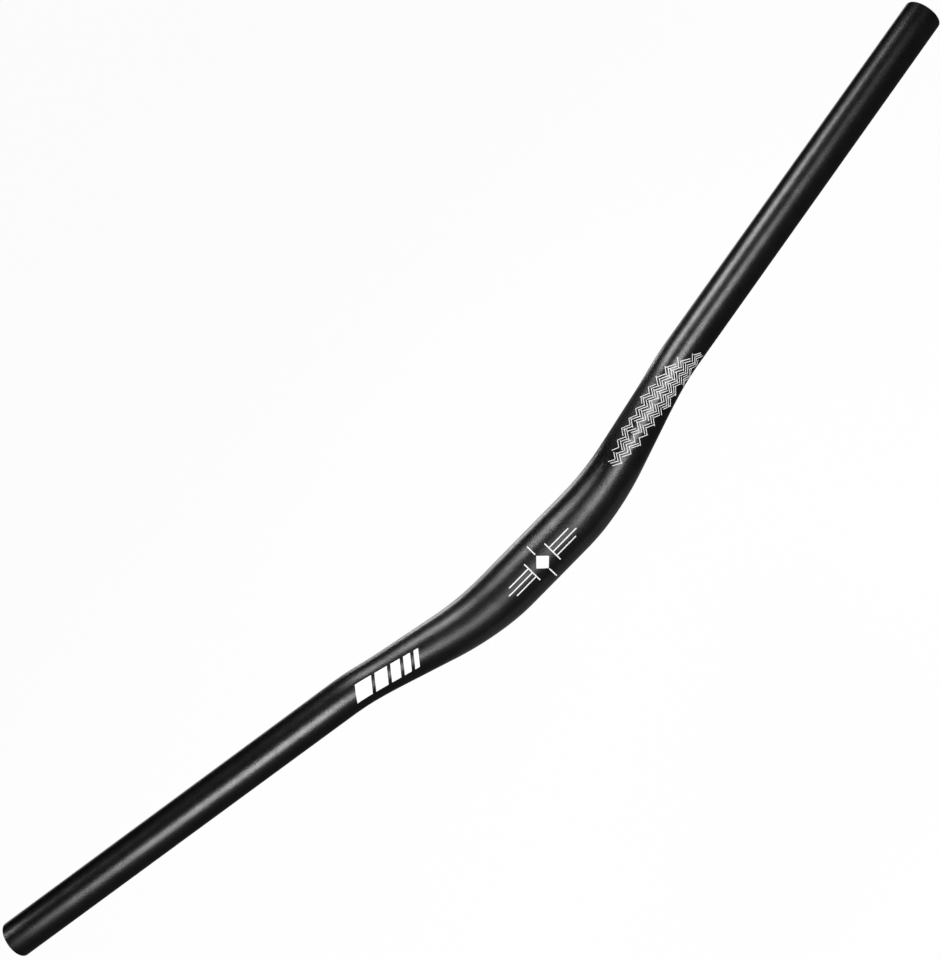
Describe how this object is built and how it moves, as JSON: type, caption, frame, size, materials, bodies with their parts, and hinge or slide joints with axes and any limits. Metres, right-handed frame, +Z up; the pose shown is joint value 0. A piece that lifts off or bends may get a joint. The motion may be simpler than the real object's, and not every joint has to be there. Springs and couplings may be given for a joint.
{
  "type": "riser handlebar",
  "caption": "Riser handlebar: one hollow butted tube with a straight clamp area, tapered up and back bends and straight open-ended grip arms.",
  "frame": {"origin": "middle of the clamp area, on the tube's centre line", "axes": "+X along the clamp to the bar's right end as seen from the front, +Y backwards to the rider, +Z up"},
  "size_m": [0.7476, 0.0754, 0.0675],
  "materials": {
    "anodised_tube": "satin"
  },
  "bodies": {
    "root": {"handlebar": "anodised_tube"}
  },
  "joints": []
}
